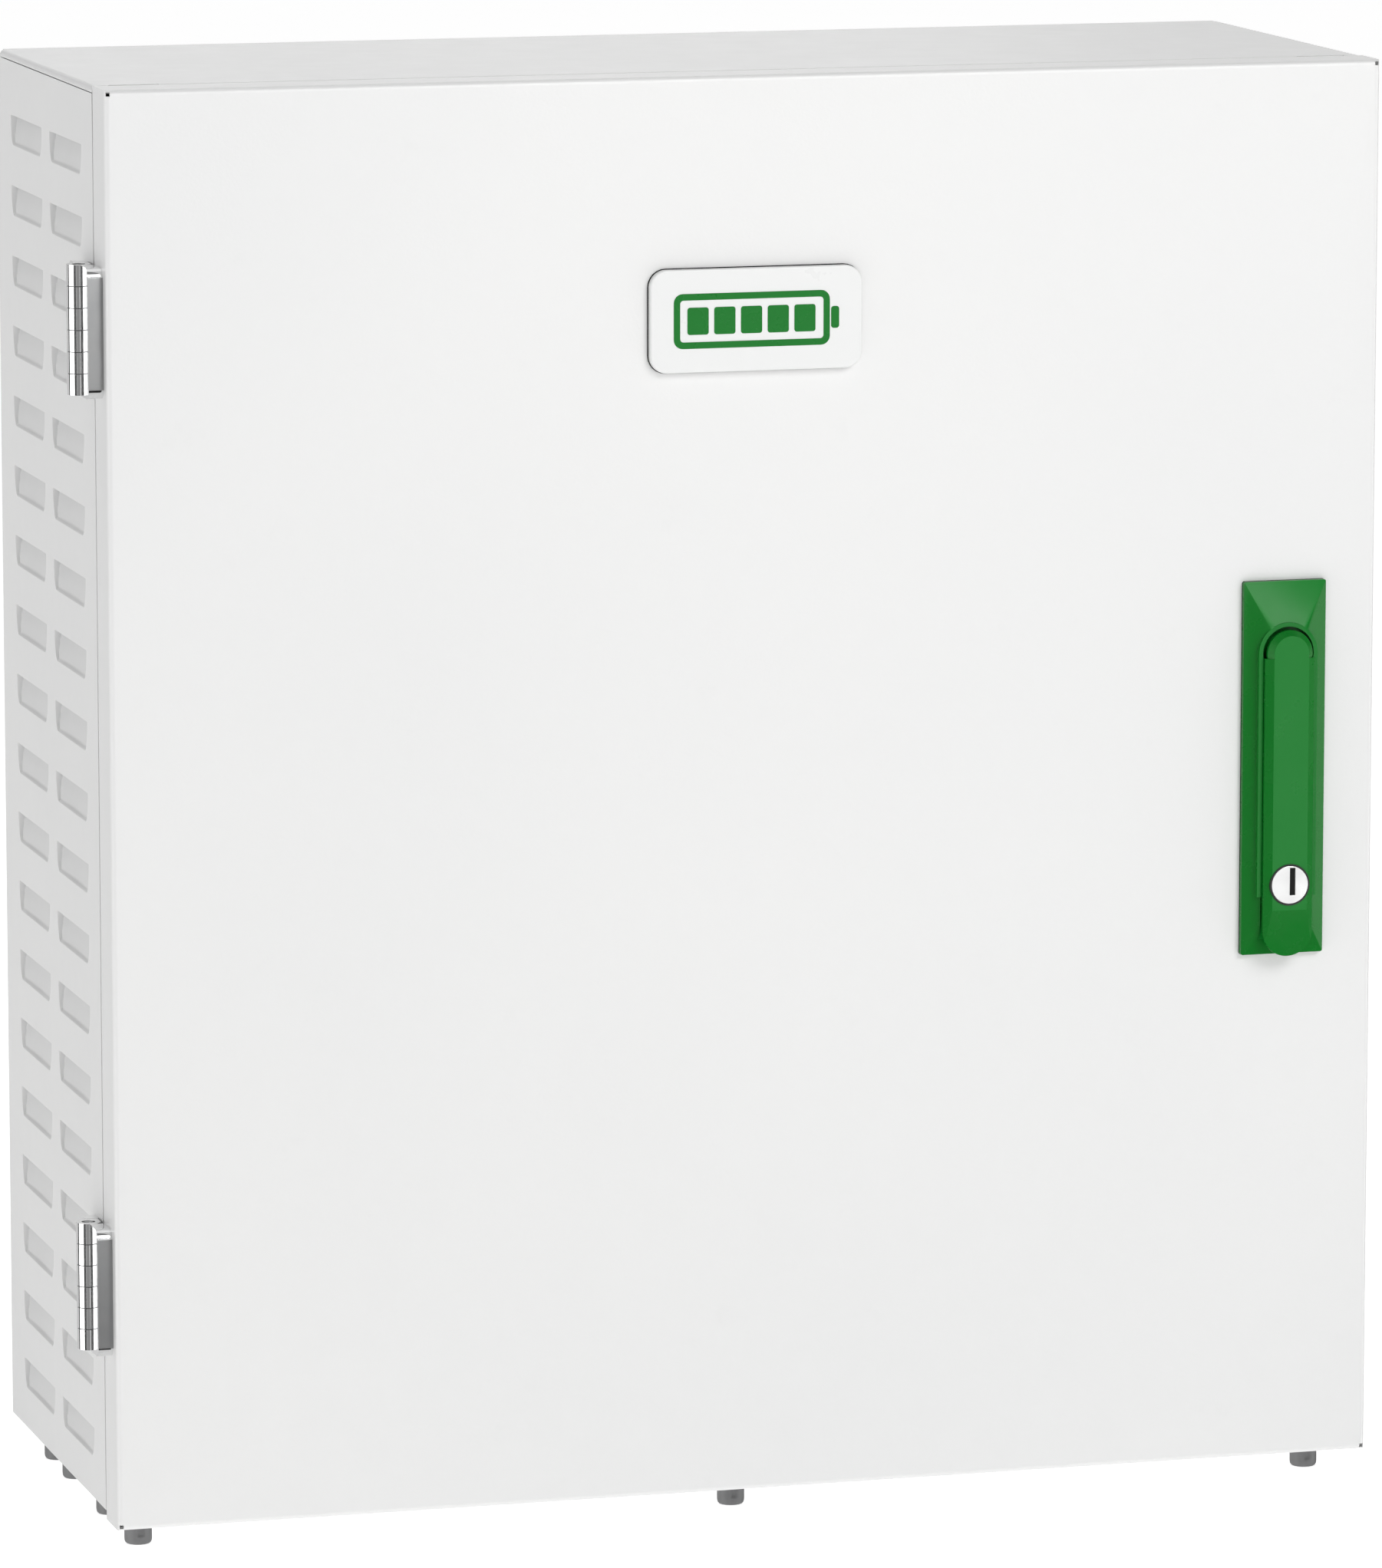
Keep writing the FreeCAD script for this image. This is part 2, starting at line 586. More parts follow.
def grommets():
    made = []
    for i, spot in enumerate(GROMMET_SPOTS):
        low = f"{ENTRY_PLATE_TOP} - skin"
        under = cylinder(f"grommet_under_{i}", "z", spot, (f"{low} - grommet_rim", low), "grommet_radius")
        neck = cylinder(f"grommet_neck_{i}", "z", spot, (low, ENTRY_PLATE_TOP), "grommet_neck - screw_slack")
        over = cone(f"grommet_over_{i}", "z", spot, (ENTRY_PLATE_TOP, f"{ENTRY_PLATE_TOP} + 2 * grommet_rim"),
                    ("grommet_radius", "grommet_bore + grommet_rim"))
        bore = cylinder(f"grommet_bore_{i}", "z", spot,
                        (f"{low} - grommet_rim", f"{ENTRY_PLATE_TOP} + grommet_rim"),
                        "grommet_bore")
        made.append(cut(f"grommet_{i}", fuse(f"grommet_blank_{i}", [under, neck, over]), [bore]))
    return group("cable_grommets", made)


def earth_stud():
    """A stud whose free end stands clear of its outer nut, on a slightly thinner clamped length."""
    spot = ("stud_y", "stud_z")
    face = "body_width / 2"
    core = cylinder("stud_core_round", "x", spot, (f"{face} - stud_inside", f"{face} + stud_nut_high"),
                    "stud_core")
    free = cylinder("stud_free", "x", spot, (f"{face} + stud_nut_high", f"{face} + stud_reach"), "stud_radius")
    return fuse("earth_stud", [core, free])


# ---- Shelves and batteries --------------------------------------------------------------------------------

SHELF_SPOTS = [
    (x, y) for x in ("-shelf_screw_x", "shelf_screw_x") for y in ("shelf_screw_front", "shelf_screw_back")
]
TIERS = ("lower_tier", "upper_tier")


def shelf_rails():
    made = []
    for tier in TIERS:
        for side, sign in (("left", -1), ("right", 1)):
            y = ("upright_back", "body_back - 2 * skin")
            web = block(f"rail_web_{tier}_{side}", on_side(sign, "rail_half - skin", "rail_half"), y,
                        (f"{tier} - skin - rail_height", f"{tier} - skin"))
            seat = block(f"rail_seat_{tier}_{side}", on_side(sign, "rail_half - rail_foot", "rail_half"), y,
                         (f"{tier} - 2 * skin", f"{tier} - skin"))
            made.append(fuse(f"rail_{tier}_{side}", [web, seat]))
    tools = []
    for tier in TIERS:
        tools += same_holes(f"rail_hole_{tier}", "z", (f"{tier} - 3 * skin", f"{tier}"), SHELF_SPOTS)
    return cut("shelf_rails", group("rails", made), tools)


def shelf(name, tier):
    """A tray with its front and rear edges folded up."""
    x = ("-shelf_half", "shelf_half")
    floor = block(f"{name}_floor", x, ("shelf_front", "shelf_back"), (f"{tier} - skin", tier))
    front = block(f"{name}_front", x, ("shelf_front", "shelf_front + skin"), (tier, f"{tier} + shelf_lip"))
    rear = block(f"{name}_rear", x, ("shelf_back - skin", "shelf_back"), (tier, f"{tier} + shelf_lip"))
    holes = screw_holes(f"{name}_hole", "cabinet", "z", tier, 1, SHELF_SPOTS)
    return cut(name, fuse(f"{name}_folded", [floor, front, rear]), holes)


def retaining_bars():
    made = []
    for tier in TIERS:
        low = f"{tier} + bar_low"
        made.append(block(f"bar_{tier}", ("-bar_half", "bar_half"), ("upright_back", "upright_back + 2 * skin"),
                          (low, f"{low} + bar_height")))
    holes = screw_holes("bar_hole", "cabinet", "y", "upright_back + 2 * skin", 1, BAR_SPOTS, "3 * skin")
    return cut("retaining_bars", group("bars", made), holes)


def battery_middle(index):
    return f"({index} - (battery_count - 1) / 2) * (battery_width + battery_gap)"


def battery(name, index, tier):
    """A sealed block: a case with rounded corners under a lid that is slightly wider all round."""
    x = about(battery_middle(index), "battery_width / 2")
    inset = (f"{x[0]} + lid_step", f"{x[1]} - lid_step")
    y = ("battery_front", "battery_front + battery_depth")
    split = f"{tier} + battery_height - lid_height"
    case = block(f"{name}_box", inset, (f"{y[0]} + lid_step", f"{y[1]} - lid_step"), (tier, split))
    lid = block(f"{name}_lid", x, y, (split, f"{tier} + battery_height"))
    return fillet(name, fuse(f"{name}_blank", [case, lid]), "battery_corner",
                  lambda edge: runs_along(edge, "z"))


def tab_middle(index, sign):
    return f"{battery_middle(index)} + {sign} * (battery_width / 2 - tab_inset)"


def battery_terminals():
    made = []
    for tier in TIERS:
        for i in range(int(size("battery_count"))):
            for sign in (-1, 1):
                top = f"{tier} + battery_height"
                made.append(block(f"tab_{tier}_{i}_{'n' if sign < 0 else 'p'}",
                                  about(tab_middle(i, sign), "tab_width / 2"),
                                  about("battery_front + tab_inset", "tab_thick / 2"),
                                  (top, f"{top} + tab_height")))
    return group("battery_terminals", made)


def battery_links():
    """Flat insulated links from each block's right terminal to its neighbour's left one."""
    made = []
    for tier in TIERS:
        for i in range(int(size("battery_count")) - 1):
            x = (f"{tab_middle(i, 1)} - tab_width / 2", f"{tab_middle(i + 1, -1)} + tab_width / 2")
            near = "battery_front + tab_inset + tab_thick / 2"
            top = f"{tier} + battery_height"
            made.append(block(f"link_{tier}_{i}", x, (near, f"{near} + link_thick"),
                              (f"{top} + link_low", f"{top} + link_high")))
    return group("battery_links", made)


# ---- Breaker compartment ----------------------------------------------------------------------------------

DIN_SPOTS = [(x, "din_screw") for x in ("din_start + earth_inset / 2", "din_end - earth_inset / 2")]
EARTH_SPOTS = [(x, "earth_z") for x in ("earth_start + earth_inset / 2", "earth_end - earth_inset / 2")]
BREAKER_SPOTS = [(f"breaker_x + {x} * breaker_screw_x",
                  f"(breaker_low + breaker_high) / 2 + {z} * breaker_screw_z")
                 for x in (-1, 1) for z in (-1, 1)]
BUSBAR_SPOTS = [(f"breaker_x + {x} * busbar_x", "busbar_post") for x in (-1, 1)]
PLATE_Y = ("plate_front", "plate_back")


def mounting_plate():
    sheet = block("plate_sheet", ("-plate_half", "plate_half"), PLATE_Y, ("plate_low", "plate_high"))
    holes = screw_holes("plate_hole", "cabinet", "y", "plate_front", -1, STANDOFF_SPOTS)
    holes += same_holes("plate_din_hole", "y", PLATE_Y, DIN_SPOTS)
    return cut("mounting_plate", sheet, holes)


def plate_standoffs():
    made = []
    for i, spot in enumerate(STANDOFF_SPOTS):
        post = hexagon(f"standoff_hex_{i}", "y", spot, ("plate_back", "body_back - skin"),
                       "2 * standoff_radius")
        bore = cylinder(f"standoff_bore_{i}", "y", spot, ("plate_back", "plate_back + screw_length"),
                        "screw_radius + screw_slack")
        made.append(cut(f"standoff_{i}", post, [bore]))
    return group("plate_standoffs", made)


def breaker_base():
    x = about("breaker_x", "breaker_half")
    body = block("breaker_box", x, ("cover_back", "plate_front"), ("breaker_low", "breaker_high"))
    middle = "(breaker_low + breaker_high) / 2"
    cavity = block("breaker_cavity", about("breaker_x", "window_half"), ("cover_back", "cavity_back"),
                   about(middle, "window_reach"))
    chambers = [
        block(f"breaker_chamber_{i}", about(f"breaker_x + {i} * busbar_x", "escape_half / 2"),
              ("cover_back", "cavity_back"), ("breaker_high - escape_high", "breaker_high"))
        for i in (-1, 1)
    ]
    holes = same_holes("breaker_base_hole", "y", ("cover_back", "cover_back + screw_length"), BREAKER_SPOTS)
    return cut("breaker_base", body, [cavity] + chambers + holes)


def breaker_cover():
    """A front cover that steps forward round the window of the toggle."""
    x = about("breaker_x", "breaker_half")
    middle = "(breaker_low + breaker_high) / 2"
    low = block("cover_low", x, ("breaker_front + cover_step", "cover_back"), ("breaker_low", "breaker_high"))
    high = block("cover_high", about("breaker_x", "raised_half"), ("breaker_front", "cover_back"),
                 about(middle, "raised_reach"))
    window = block("cover_window", about("breaker_x", "window_half"), ("breaker_front", "cover_back"),
                   about(middle, "window_reach"))
    holes = screw_holes("cover_hole", "cabinet", "y", "breaker_front + cover_step", -1, BREAKER_SPOTS,
                        "cover_back - breaker_front - cover_step")
    return cut("breaker_cover", fuse("cover_blank", [low, high]), [window] + holes)


def breaker_toggle():
    """The toggle points straight out of its window and is then tilted up to its closed-circuit position."""
    middle = "(breaker_low + breaker_high) / 2"
    hub = cylinder("toggle_hub_round", "x", ("toggle_pivot", middle), about("breaker_x", "toggle_half"),
                   "toggle_hub")
    arm = block("toggle_arm", about("breaker_x", "toggle_half"), ("breaker_front - toggle_tip", "toggle_pivot"),
                about(middle, "toggle_thick"))
    made = fuse("breaker_toggle", [hub, arm])
    centre = FreeCAD.Vector(0, size("toggle_pivot"), (size("breaker_low") + size("breaker_high")) / 2)
    tilt = FreeCAD.Rotation(FreeCAD.Vector(1, 0, 0), -size("toggle_tilt"))
    made.Placement = FreeCAD.Placement(FreeCAD.Vector(), tilt, centre)
    return made


def busbars():
    made = []
    for i in (-1, 1):
        bar = block(f"busbar_{i + 1}", about(f"breaker_x + {i} * busbar_x", "busbar_half"),
                    ("busbar_front", "busbar_front + busbar_thick"), ("breaker_high", "busbar_high"))
        made.append(bar)
    holes = screw_holes("busbar_hole", "cabinet", "y", "busbar_front", -1, BUSBAR_SPOTS, "busbar_thick")
    return cut("busbars", group("busbar_pair", made), holes)


def din_rail():
    """Top-hat rail: a channel open to the back whose two lips carry the terminal blocks."""
    x = ("din_start", "din_end")
    middle = ("din_low + din_lip", "din_high - din_lip")
    web = block("din_web", x, ("plate_front - skin", "plate_front"), middle)
    parts = [web]
    for i, (low, high) in enumerate((("din_low", "din_low + din_lip"), ("din_high - din_lip", "din_high"))):
        parts.append(block(f"din_lip_{i}", x, ("plate_front - din_depth", "plate_front - din_depth + skin"),
                           (low, high)))
    walls = (("din_low + din_lip", "din_low + din_lip + skin"),
             ("din_high - din_lip - skin", "din_high - din_lip"))
    for i, z in enumerate(walls):
        parts.append(block(f"din_wall_{i}", x, ("plate_front - din_depth", "plate_front"), z))
    holes = screw_holes("din_hole", "cabinet", "y", "plate_front - skin", -1, DIN_SPOTS, "skin")
    return cut("din_rail", fuse("din_blank", parts), holes)


def terminal_blocks():
    """Stepped blocks side by side on the rail's lips, each with two screw wells."""
    made = []
    middle = "(din_low + din_high) / 2"
    back = "plate_front - din_depth"
    for i in range(int(size("block_count"))):
        x = (f"block_start + {i} * block_pitch", f"block_start + {i + 1} * block_pitch - block_gap")
        centre = f"block_start + ({i} + 0.5) * block_pitch - block_gap / 2"
        low = block(f"block_wide_{i}", x, (f"{back} - block_depth + block_step", back),
                    about(middle, "block_high"))
        high = block(f"block_tall_{i}", x, (f"{back} - block_depth", back),
                     about(middle, "block_high - block_step"))
        wells = [
            cylinder(f"block_well_{i}_{k}", "y", (centre, f"{middle} + {k} * (block_high - block_step / 2)"),
                     (f"{back} - block_depth + block_step", f"{back} - block_depth + 2 * block_step"),
                     "screw_radius")
            for k in (-1, 1)
        ]
        made.append(cut(f"terminal_block_{i}", fuse(f"block_blank_{i}", [low, high]), wells))
    return group("terminal_blocks", made)


def earth_bar():
    bar = block("earth_bar_blank", ("earth_start", "earth_end"), ("earth_front", "earth_back"),
                about("earth_z", "earth_half"))
    first = "(earth_start + earth_end) / 2 - (earth_holes - 1) / 2 * earth_pitch"
    holes = [
        cylinder(f"earth_hole_{i}", "y", (f"{first} + {i} * earth_pitch", "earth_z"),
                 ("earth_front", "earth_back"),
                 "earth_hole")
        for i in range(int(size("earth_holes")))
    ]
    holes += screw_holes("earth_fix", "cabinet", "y", "earth_front", -1, EARTH_SPOTS,
                         "earth_back - earth_front")
    return cut("earth_bar", bar, holes)


def insulator_posts():
    """Moulded posts that hold the busbars and the earth bar off the plate."""
    made = []
    for kind, spots, start, radius in (
        ("busbar", BUSBAR_SPOTS, "busbar_front + busbar_thick", "post_radius"),
        ("earth", EARTH_SPOTS, "earth_back", "earth_half"),
    ):
        for i, spot in enumerate(spots):
            post = cylinder(f"{kind}_post_round_{i}", "y", spot, (start, "plate_front"), radius)
            bore = cylinder(f"{kind}_post_bore_{i}", "y", spot, (start, f"{start} + screw_length"),
                            "screw_radius + screw_slack")
            made.append(cut(f"{kind}_post_{i}", post, [bore]))
    return group("insulator_posts", made)


# ---- Door -------------------------------------------------------------------------------------------------

DOOR_BACK = "door_front + door_depth"
DOOR_Z = ("door_base", "door_base + door_height")


def door_panel():
    """A pan with a bent edge, a return flange all round its back, and a cut-out for the handle."""
    body = new_body("door_panel")
    full = new_sketch(body, "XZ_Plane", f"-({DOOR_BACK})")
    rectangle(full, ("-door_width / 2", "door_width / 2"), DOOR_Z)
    pad(body, full, "door_depth")
    face = size("door_front")
    round_edges(body, "door_bend", lambda edge: edge.BoundBox.YMax < face + TOUCH)
    inside = new_sketch(body, "XZ_Plane", f"-({DOOR_BACK})")
    rectangle(inside, ("-door_width / 2 + skin", "door_width / 2 - skin"),
              ("door_base + skin", "door_base + door_height - skin"))
    pocket(body, inside, "door_depth - skin", reverse=True)
    flange = new_sketch(body, "XZ_Plane", f"-({DOOR_BACK})")
    for wall in ("skin / 2", "door_return"):
        rectangle(flange, (f"-door_width / 2 + {wall}", f"door_width / 2 - {wall}"),
                  (f"door_base + {wall}", f"door_base + door_height - {wall}"))
    pad(body, flange, "skin")
    opening = new_sketch(body, "XZ_Plane", "-door_front")
    rectangle(opening, about("handle_x", "boss_width / 2 + boss_slack"),
              about("handle_z", "boss_height / 2 + boss_slack"))
    pocket(body, opening, "2 * skin")
    notches = new_sketch(body, "XZ_Plane", "-door_front")
    for x in (on_side(sign, "door_width / 2 - relief_far", "door_width / 2 - relief_near") for sign in (-1, 1)):
        rectangle(notches, x, ("door_base + relief_near", "door_base + relief_far"))
        rectangle(notches, x, ("door_base + door_height - relief_far", "door_base + door_height - relief_near"))
    pocket(body, notches, "relief_depth")
    return body


def gasket_carrier():
    z = ("body_width / 2 - carrier_half + door_base",
         "door_base + door_height - (body_width / 2 - carrier_half)")
    seat = ring("carrier_seat", "carrier_half", ("carrier_back - skin", "carrier_back"), z, "carrier_width")
    inset = "(carrier_width - skin)"
    wall = ring("carrier_wall", f"carrier_half - {inset}", (DOOR_SKIN, "carrier_back"),
                (f"{z[0]} + {inset}", f"{z[1]} - {inset}"), "skin")
    return fuse("gasket_carrier", [seat, wall])


def door_gasket():
    inset = "(body_width / 2 - carrier_half + gasket_inset)"
    return ring("door_gasket", "carrier_half - gasket_inset", ("carrier_back", "gasket_back"),
                (f"door_base + {inset}", f"door_base + door_height - {inset}"), "gasket_size")


def door_stiffeners():
    """Two upright hat sections along the inside of the door."""
    made = []
    z = ("stiffener_low", "stiffener_high")
    for sign in (-1, 1):
        middle = f"{sign} * stiffener_x"
        half = "stiffener_width / 2"
        hat = block(f"hat_{sign + 1}", about(middle, half), (DOOR_SKIN, f"{DOOR_SKIN} + stiffener_depth"), z)
        hollow = block(f"hat_hollow_{sign + 1}", about(middle, f"{half} - skin"),
                       (DOOR_SKIN, f"{DOOR_SKIN} + stiffener_depth - skin"), z)
        feet = block(f"hat_feet_{sign + 1}", about(middle, f"{half} + stiffener_foot"),
                     (DOOR_SKIN, f"{DOOR_SKIN} + skin"), z)
        made.append(cut(f"stiffener_{sign + 1}", fuse(f"hat_solid_{sign + 1}", [hat, feet]), [hollow]))
    return group("door_stiffeners", made)


def badge():
    plate = block("badge_blank", about("0", "badge_width / 2"), proud("0", "badge_thick"),
                  about("badge_z", "badge_height / 2"))
    return fillet("badge_plate", plate, "badge_corner", lambda edge: runs_along(edge, "y"))


# ---- Hinges -----------------------------------------------------------------------------------------------

HINGE_AXIS = ("hinge_x", "hinge_y")
PITCH = "hinge_length / knuckles"


def hinge_leaf(name, middle, toward, first):
    """A leaf, the knuckles it owns (every second one) and the bore for the pin."""
    low = f"{middle} - hinge_length / 2"
    reach = "leaf_reach" if toward < 0 else "leaf_back"
    x = ("-body_width / 2 - leaf_thick", "-body_width / 2")
    y = out_from("hinge_y", toward, "barrel_radius + leaf_slack", reach)
    leaf = block(f"{name}_flat", x, y, (low, f"{low} + hinge_length"))
    far = size("hinge_y") + toward * size(reach)
    rounded = fillet(f"{name}_rounded", leaf, "leaf_corner",
                     lambda edge: runs_along(edge, "x") and abs(edge.BoundBox.YMin - far) < TOUCH)
    parts = [rounded]
    for k in range(first, int(size("knuckles")), 2):
        z = (f"{low} + {k} * {PITCH} + knuckle_gap", f"{low} + {k + 1} * {PITCH} - knuckle_gap")
        parts.append(cylinder(f"{name}_knuckle_{k}", "z", HINGE_AXIS, z, "barrel_radius"))
        parts.append(block(f"{name}_web_{k}", (x[0], "hinge_x + barrel_radius"),
                           out_from("hinge_y", toward, "0", "barrel_radius + leaf_slack"), z))
    bore = cylinder(f"{name}_bore", "z", HINGE_AXIS, (low, f"{low} + hinge_length"), "pin_radius + pin_slack")
    return cut(name, fuse(f"{name}_blank", parts), [bore])


def hinge_leaves(name, toward, first):
    made = [hinge_leaf(f"{name}_{middle}", middle, toward, first) for middle in ("hinge_lower", "hinge_upper")]
    return group(name, made)


def hinge_pins():
    made = []
    for middle in ("hinge_lower", "hinge_upper"):
        span = about(middle, "hinge_length / 2 - pin_recess")
        made.append(cylinder(f"pin_{middle}", "z", HINGE_AXIS, span, "pin_radius"))
    return group("hinge_pins", made)


# ---- Swing handle -----------------------------------------------------------------------------------------

AXIS = ("handle_x", "axis_z")
CLAMP_SPOTS = [("handle_x", "handle_z - clamp_screw_low"), ("handle_x", "handle_z + clamp_screw_high")]
LEVER_X = about("handle_x", "lever_half")


def handle_plate():
    """A hipped plate with a rimmed channel for the lever, a round well for its head, and a boss behind it."""
    half = "plate_width / 2"
    low, high = about("handle_z", "plate_height / 2")
    base = block("plate_base", about("handle_x", half), proud("0", "plate_thick"), (low, high))
    roof = frustum("plate_roof", proud("plate_thick", "ridge_height"), about("handle_x", "hip_half"),
                   ("hip_low", "hip_high"), about("handle_x", half), (low, high))
    rim = block("plate_rim", about("handle_x", "ridge_half"), proud("0", "ridge_height"),
                ("ridge_low", "axis_z"))
    arch = cylinder("plate_arch", "y", AXIS, proud("0", "ridge_height"), "ridge_half")
    mask = block("plate_mask", about("handle_x", half), proud("0", "ridge_height"), (low, high))
    rounded = fillet("plate_outline", mask, "plate_corner", lambda edge: runs_along(edge, "y"))
    shell = common("plate_shell", [fuse("plate_hip", [base, roof, rim, arch]), rounded])
    boss = block("plate_boss", about("handle_x", "boss_width / 2"), ("door_front", "door_front + boss_depth"),
                 about("handle_z", "boss_height / 2"))
    over = proud("channel_floor", "ridge_height + plate_thick")
    tools = [
        block("plate_channel", about("handle_x", "channel_half"), over, (f"{low} - plate_thick", "axis_z")),
        cylinder("plate_well", "y", AXIS, proud("well_floor", "ridge_height + plate_thick"), "well_radius"),
        cylinder("plate_bore", "y", AXIS, ("door_front - ridge_height", "door_front + 2 * boss_depth"),
                 "hub_radius + hub_slack"),
    ]
    span = ("door_front + boss_depth - screw_length", "door_front + boss_depth")
    tools += same_holes("plate_screw_hole", "y", span, CLAMP_SPOTS)
    return cut("handle_plate", fuse("plate_whole", [shell, boss]), tools)


def handle_clamp():
    """A bridge that pulls the handle plate against the door from the inside."""
    back = "door_front + boss_depth"
    z = about("handle_z", "clamp_height / 2")
    span = block("clamp_span", about("handle_x", "clamp_half"), (back, f"{back} + skin"), z)
    legs = [
        block(f"clamp_leg_{sign + 1}", (f"handle_x + {near}", f"handle_x + {far}"), (DOOR_SKIN, back), z)
        for sign, near, far in ((-1, "(-clamp_half)", "(-clamp_half + clamp_leg)"),
                                (1, "(clamp_half - clamp_leg)", "clamp_half"))
    ]
    hole = cylinder("clamp_opening", "y", AXIS, (back, f"{back} + skin"), "clamp_hole")
    holes = screw_holes("clamp_hole", "door", "y", f"{back} + skin", 1, CLAMP_SPOTS, "skin")
    return cut("handle_clamp", fuse("clamp_blank", [span] + legs), [hole] + holes)


PIVOT = ("door_front - pivot_height", "axis_z")


def handle_rotor():
    """The hub that turns in the plate, with two cheeks for the lever and a square spindle for the cam."""
    hub = cylinder("rotor_hub", "y", AXIS, ("door_front - hub_top", "hub_back"), "hub_radius")
    spindle = block("rotor_spindle", about("handle_x", "spindle_half"), ("hub_back", "cam_back"),
                    about("axis_z", "spindle_half"))
    parts = [hub, spindle]
    for sign, x in ((-1, ("handle_x - cheek_far", "handle_x - cheek_near")),
                    (1, ("handle_x + cheek_near", "handle_x + cheek_far"))):
        parts.append(cylinder(f"rotor_cheek_{sign + 1}", "x", PIVOT, x, "cheek_radius"))
        parts.append(block(f"rotor_post_{sign + 1}", x, proud("hub_top - cheek_sink", "pivot_height"),
                           about("axis_z", "cheek_radius")))
    bore = cylinder("rotor_pin_hole", "x", PIVOT, about("handle_x", "cheek_far"), "pivot_radius")
    groove_outer = cylinder("rotor_groove_outer", "y", AXIS, ("clip_front", "clip_back"),
                            "hub_radius + clip_slack")
    groove_inner = cylinder("rotor_groove_inner", "y", AXIS, ("clip_front", "clip_back"), "clip_seat")
    groove = cut("rotor_groove", groove_outer, [groove_inner])
    return cut("handle_rotor", fuse("rotor_blank", parts), [bore, groove])


def rotor_clip():
    """A spring ring, open at one side, in the groove behind the boss."""
    disc = cylinder("clip_disc", "y", AXIS, ("clip_front", "clip_back"), "clip_radius")
    hole = cylinder("clip_hole", "y", AXIS, ("clip_front", "clip_back"), "clip_seat")
    gap = block("clip_gap", about("handle_x", "spindle_half"), ("clip_front", "clip_back"),
                ("axis_z", "axis_z + 2 * clip_radius"))
    return cut("rotor_clip", disc, [hole, gap])


def lever_section(body, low):
    sketch = new_sketch(body, "XY_Plane", low)
    bottom = "door_front - lever_bottom"
    side = "door_front - lever_bottom - lever_rise"
    top = "door_front - lever_top"
    outline(sketch, [
        ("handle_x - lever_half", bottom), ("handle_x + lever_half", bottom),
        ("handle_x + lever_half", side), ("handle_x + lever_flat", top),
        ("handle_x - lever_flat", top), ("handle_x - lever_half", side),
    ])
    return sketch


def handle_lever():
    """A bevelled lever with a round head and a round tip that slopes down, on a lug for its cross pin."""
    bar = new_body("lever_bar")
    pad(bar, lever_section(bar, "tip_z"), "axis_z - lever_start - tip_z")
    thick = proud("lever_bottom", "lever_top")
    long = block("lever_long", LEVER_X, thick, ("tip_z + lever_half", "axis_z"))
    tip = cylinder("lever_tip", "y", ("handle_x", "tip_z + lever_half"), thick, "lever_half")
    shaped = common("lever_shaped", [bar, fuse("lever_mask", [long, tip])])
    slope = new_body("lever_slope")
    sketch = new_sketch(slope, "YZ_Plane", "handle_x - lever_half")
    outline(sketch, [
        ("door_front - lever_top", "slope_z"), ("door_front - lever_bottom - tip_thick", "tip_z"),
        ("door_front - lever_top - lever_rise", "tip_z"), ("door_front - lever_top - lever_rise", "slope_z"),
    ])
    pad(slope, sketch, "2 * lever_half")
    head_low = cylinder("lever_head_low", "y", AXIS, proud("lever_bottom", "lever_top - head_bevel"),
                        "head_radius")
    head_high = cone("lever_head_high", "y", AXIS, proud("lever_top - head_bevel", "lever_top"),
                     ("head_radius - head_bevel", "head_radius"))
    lug = cylinder("lever_lug", "x", PIVOT, about("handle_x", "lug_half"), "lug_radius")
    neck = block("lever_neck", about("handle_x", "lug_half"), proud("pivot_height", "lever_bottom"),
                 about("axis_z", "lug_radius"))
    tools = [
        slope,
        cylinder("lever_lock_hole", "y", ("handle_x", "lock_z"), proud("lever_bottom", "lock_high"),
                 "sleeve_radius"),
        cylinder("lever_pin_hole", "x", PIVOT, about("handle_x", "lug_half"), "pivot_radius + pin_slack"),
    ]
    return cut("handle_lever", fuse("lever_blank", [shaped, head_low, head_high, lug, neck]), tools)


def lever_pin():
    return cylinder("lever_pin", "x", PIVOT, about("handle_x", "cheek_far"), "pivot_radius")


LOCK = ("handle_x", "lock_z")


def lock_sleeve():
    span = proud("lock_low", "lock_high")
    outer = cylinder("sleeve_outer", "y", LOCK, span, "sleeve_radius")
    inner = cylinder("sleeve_inner", "y", LOCK, span, "plug_radius + pin_slack")
    return cut("lock_sleeve", outer, [inner])


def lock_plug():
    """The round face of the lock with its off-centre key slot."""
    plug = cylinder("plug_round", "y", LOCK, proud("lock_low", "lock_high"), "plug_radius")
    slot = block("plug_slot", about("handle_x + key_x", "key_half"),
                 proud("lock_high - key_depth", "lock_high"),
                 about("lock_z + key_rise", "key_height / 2"))
    return cut("lock_plug", plug, [slot])


# ---- Lock rods --------------------------------------------------------------------------------------------


def drive_cam():
    disc = cylinder("cam_disc", "y", AXIS, ("cam_front", "cam_back"), "cam_radius")
    square = block("cam_square", about("handle_x", "spindle_half"), ("cam_front", "cam_back"),
                   about("axis_z", "spindle_half"))
    plate = cut("cam_plate", disc, [square])
    pins = [
        cylinder(f"cam_pin_{sign + 1}", "y", (f"handle_x + {sign} * crank", f"axis_z + {sign} * crank"),
                 ("cam_back", "pin_end"), "crank_pin")
        for sign in (-1, 1)
    ]
    return fuse("drive_cam", [plate] + pins)


